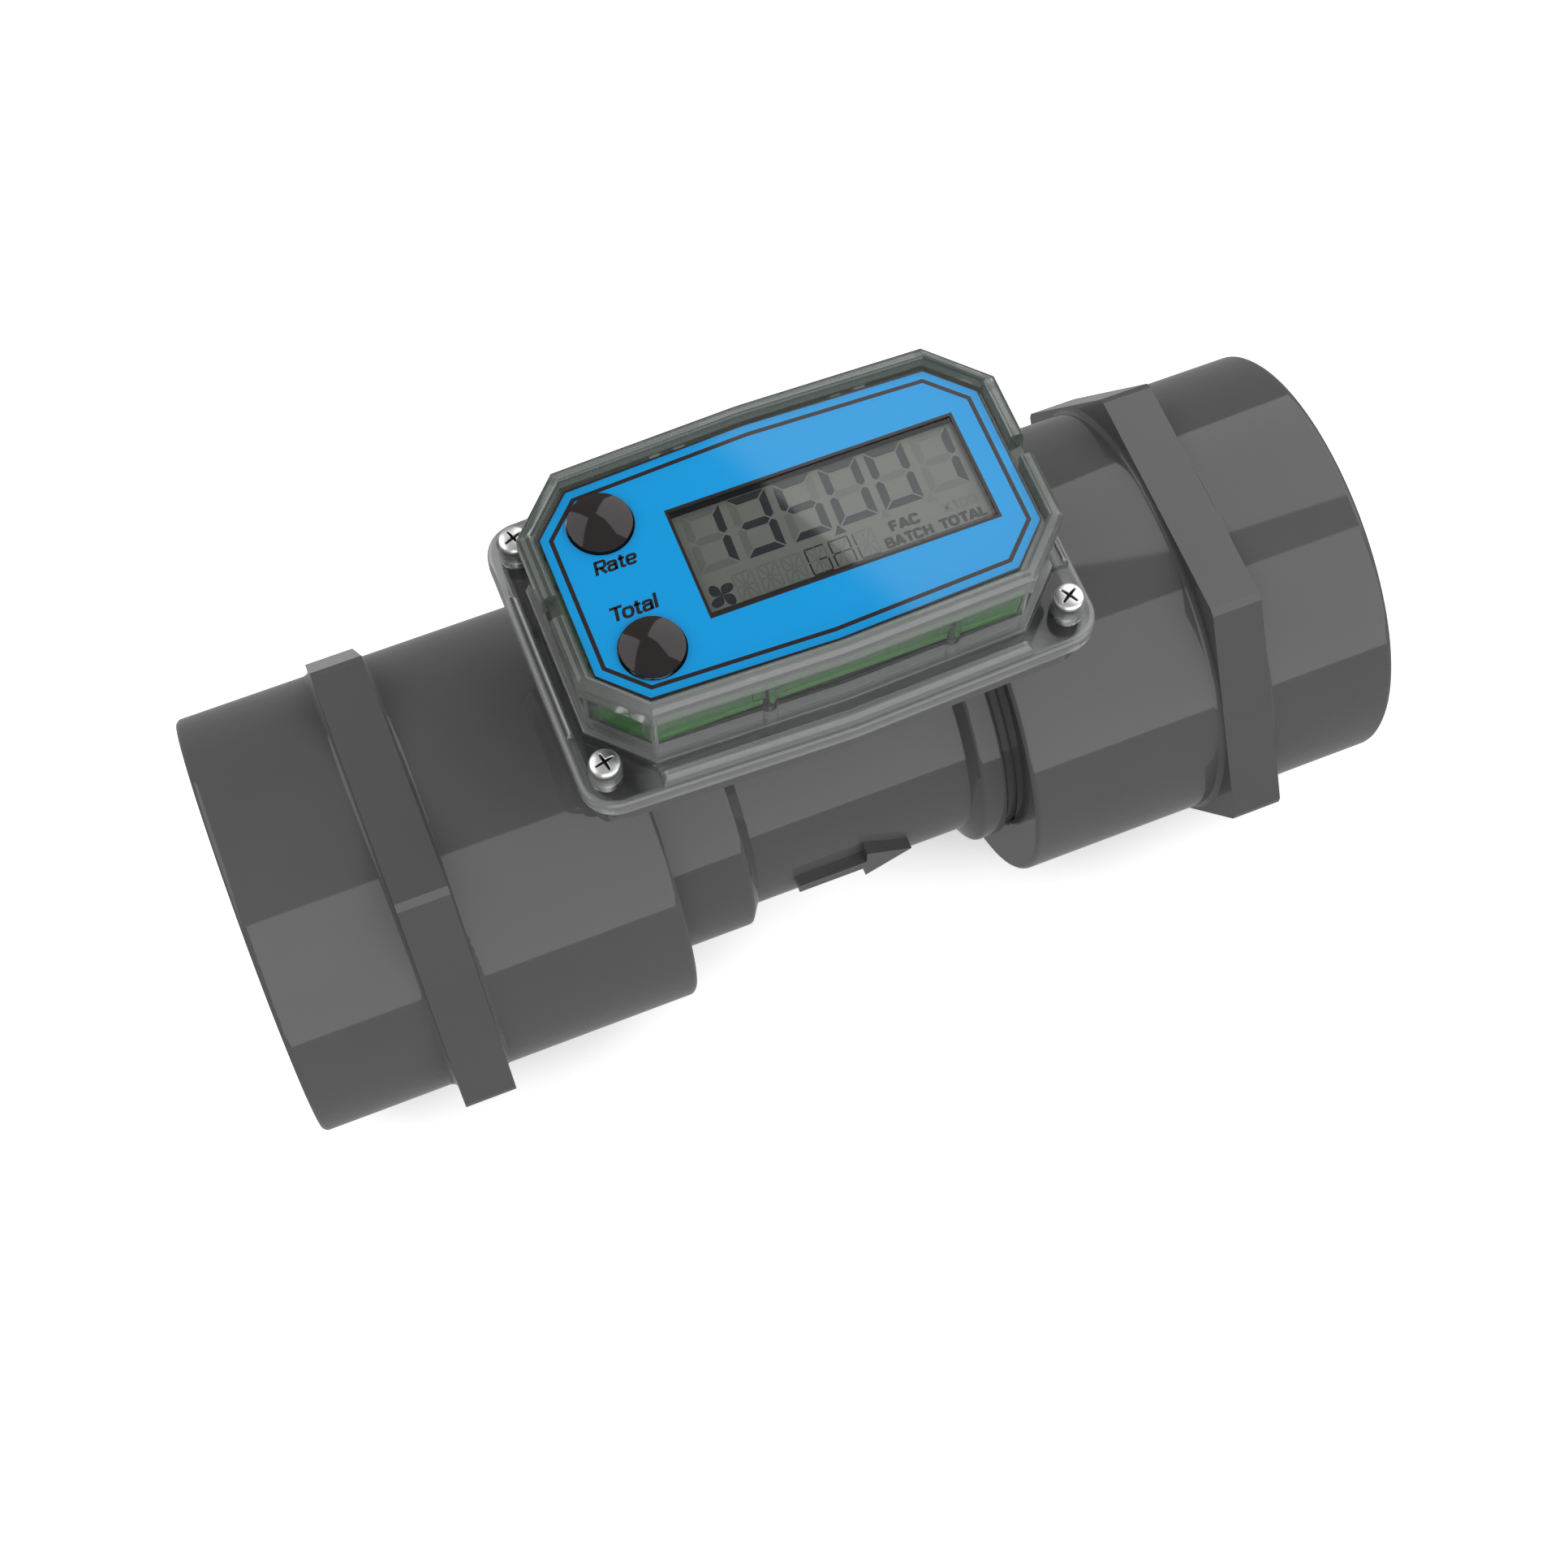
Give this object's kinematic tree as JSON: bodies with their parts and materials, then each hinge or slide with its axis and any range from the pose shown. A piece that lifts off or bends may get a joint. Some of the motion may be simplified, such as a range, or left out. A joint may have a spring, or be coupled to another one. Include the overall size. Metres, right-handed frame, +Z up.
{
  "type": "turbine flow meter",
  "caption": "Plastic turbine flow meter for a threaded pipe line: spinning rotor between flow straighteners, and a battery display with push buttons on its deck.",
  "frame": {"origin": "centre of the base: midway between the two ports, on the surface that the lowest flats of the wrench bands rest on, so the flow axis is 41 mm above it", "axes": "+X with the flow, from inlet to outlet; +Z up through the display; -Y towards the side with the flow arrow"},
  "size_m": [0.2118, 0.0938, 0.1216],
  "materials": {
    "grey_pvc": "satin moulded",
    "ivory_plastic": "satin moulded",
    "spring_steel": "brushed",
    "ceramic": "ground",
    "shaft_metal": "ground",
    "magnet": "sintered",
    "smoky_clear": "polished, clear",
    "black_rubber": "satin",
    "screw_steel": "polished",
    "blue_film": "printed film",
    "display_glass": "polarised glass",
    "dark_plastic": "satin",
    "strip_rubber": "satin",
    "board_green": "lacquered",
    "button_brown": "gloss moulded",
    "tray_plastic": "satin moulded",
    "battery_steel": "rolled",
    "copper_wire": "enamelled"
  },
  "bodies": {
    "meter": {"turbine_body": "grey_pvc", "inlet_coupling": "grey_pvc", "outlet_coupling": "grey_pvc", "inlet_straightener": "ivory_plastic", "outlet_straightener": "ivory_plastic", "inlet_retaining_ring": "spring_steel", "outlet_retaining_ring": "spring_steel", "inlet_bearing": "ceramic", "outlet_bearing": "ceramic", "display_housing": "smoky_clear", "housing_gasket": "black_rubber", "housing_screws": "screw_steel", "face_label": "blue_film", "display_glass": "display_glass", "display_frame": "dark_plastic", "contact_strips": "strip_rubber", "circuit_board": "board_green", "controller_chip": "dark_plastic", "rate_switch": "dark_plastic", "total_switch": "dark_plastic", "battery_tray": "tray_plastic", "left_battery": "battery_steel", "right_battery": "battery_steel", "battery_contacts": "spring_steel", "coil_bobbin": "dark_plastic", "coil_winding": "copper_wire", "coil_core": "magnet", "coil_leads": "copper_wire"},
    "rotor": {"rotor": "ivory_plastic", "rotor_shaft": "shaft_metal", "rotor_magnet": "magnet"},
    "rate_button": {"rate_button": "button_brown"},
    "total_button": {"total_button": "button_brown"}
  },
  "joints": [
    {"name": "rotor_spin", "type": "hinge", "parent": "meter", "child": "rotor", "pos_m": [0, 0, 0.041], "axis": [1, 0, 0], "continuous": true},
    {"name": "rate_button_press", "type": "slide", "parent": "meter", "child": "rate_button", "axis": [0, 0, -1], "range_m": [0, 0.0008], "stiffness_N_per_m": 1500},
    {"name": "total_button_press", "type": "slide", "parent": "meter", "child": "total_button", "axis": [0, 0, -1], "range_m": [0, 0.0008], "stiffness_N_per_m": 1500}
  ]
}
